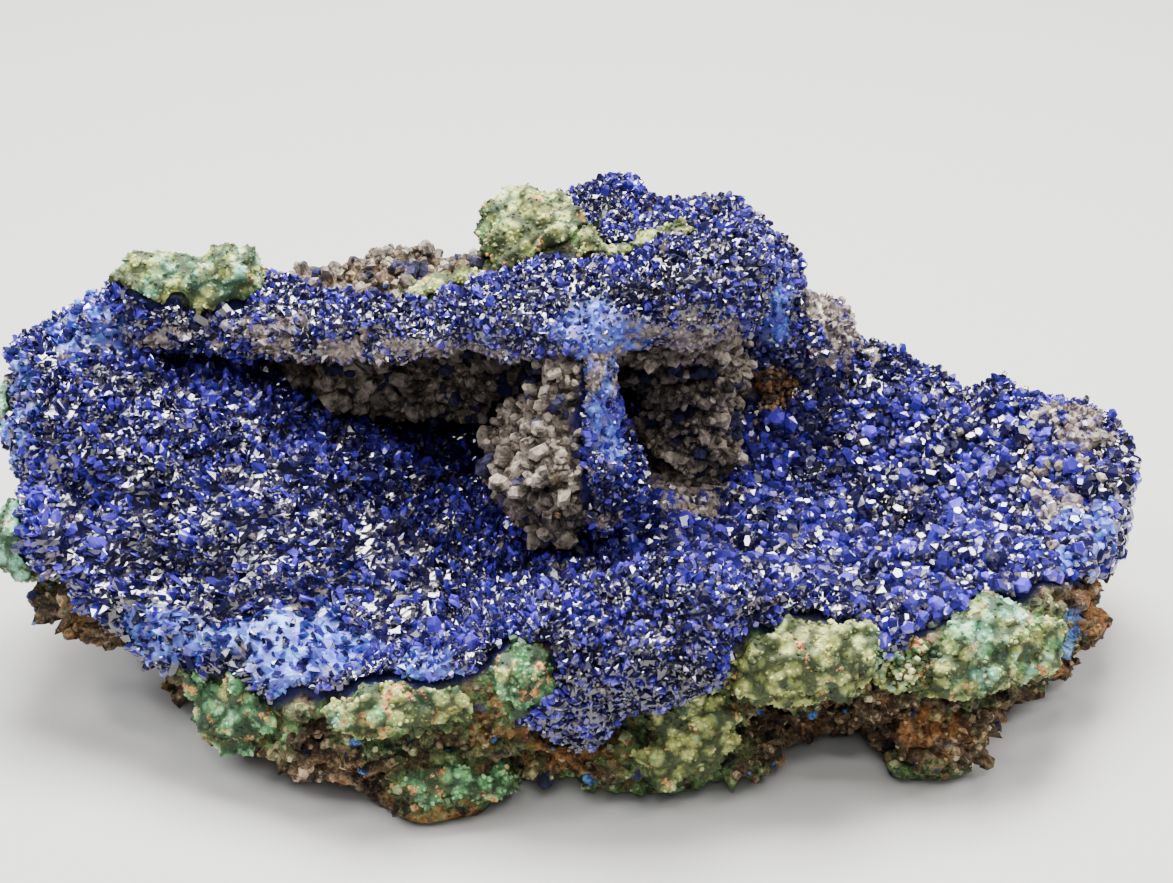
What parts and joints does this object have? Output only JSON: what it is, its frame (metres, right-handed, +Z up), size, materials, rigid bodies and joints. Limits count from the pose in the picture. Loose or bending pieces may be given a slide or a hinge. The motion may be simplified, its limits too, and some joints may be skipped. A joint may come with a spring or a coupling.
{
  "type": "azurite specimen",
  "caption": "Mineral specimen: a hollow of brown limonite rock under a thin rock shelf, lined with deep blue azurite crystals and edged with green malachite crusts.",
  "frame": {"origin": "centre of the box's footprint, on the ground that the specimen rests on", "axes": "+X along the specimen's length, +Y to its back, +Z up; the hollow opens to -Y"},
  "size_m": [0.1142, 0.0582, 0.0466],
  "materials": {
    "limonite_rock": "dull, rough and earthy",
    "azurite": "glassy crystal faces",
    "malachite": "dull to silky crust"
  },
  "bodies": {
    "root": {"azurite_crust": "azurite", "malachite_back_ledge": "malachite", "malachite_back_low": "malachite", "malachite_chip_high": "malachite", "malachite_chip_low": "malachite", "malachite_front_band": "malachite", "malachite_front_slope": "malachite", "malachite_knob": "malachite", "malachite_left_foot": "malachite", "malachite_left_ledge": "malachite", "malachite_left_rim": "malachite", "malachite_patch": "malachite", "malachite_right_band": "malachite", "malachite_roof_band": "malachite", "malachite_roof_left": "malachite", "malachite_roof_strip": "malachite", "matrix": "limonite_rock"}
  },
  "joints": []
}
